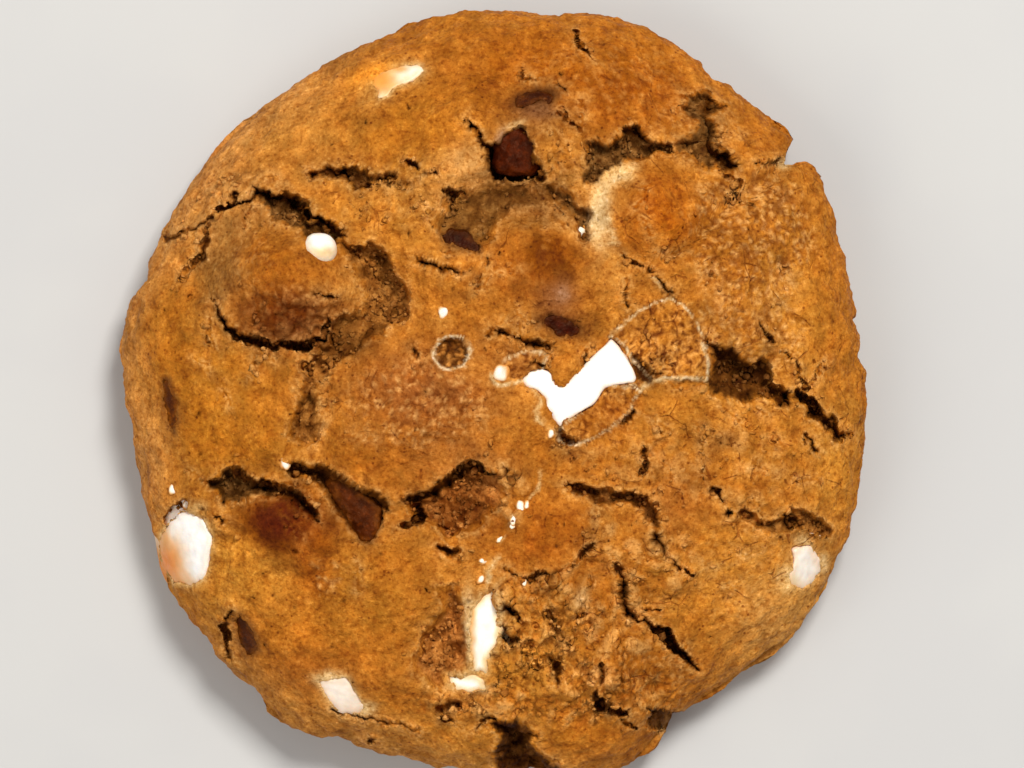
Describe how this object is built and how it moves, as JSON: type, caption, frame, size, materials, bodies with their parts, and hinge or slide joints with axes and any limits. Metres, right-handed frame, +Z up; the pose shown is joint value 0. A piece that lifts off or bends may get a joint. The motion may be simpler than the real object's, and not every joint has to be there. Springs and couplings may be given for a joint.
{
  "type": "chocolate chunk cookie",
  "caption": "Thick round soft-baked cookie with a domed, cracked golden-brown crust and pieces of dark and white chocolate set in it.",
  "frame": {"origin": "middle of the underside, on the surface that the cookie rests on", "axes": "+Z up out of the cracked top, +Y towards the side that is at the top of the picture, +X towards its right side"},
  "size_m": [0.0929, 0.0966, 0.025],
  "materials": {
    "crust": "matte baked crust, golden to orange brown, fine crumb grain, darker rough crumb in the cracks",
    "dark_chocolate": "satin dark red-brown chocolate, softly melted edges",
    "white_chocolate": "satin ivory chocolate, softly melted, toasted orange in places"
  },
  "bodies": {
    "root": {"cookie": "crust", "dark_chunk_north": "dark_chocolate", "dark_tip_north": "dark_chocolate", "dark_chunk_basin": "dark_chocolate", "dark_chip_middle": "dark_chocolate", "dark_chunk_southwest": "dark_chocolate", "dark_chunk_flank": "dark_chocolate", "dark_sliver_west": "dark_chocolate", "white_streak_northwest": "white_chocolate", "white_bead_northwest": "white_chocolate", "white_chunk_west": "white_chocolate", "white_chunk_south": "white_chocolate", "white_bar_south": "white_chocolate", "white_foot_south": "white_chocolate", "white_chunk_southeast": "white_chocolate", "white_slab_middle": "white_chocolate"}
  },
  "joints": []
}
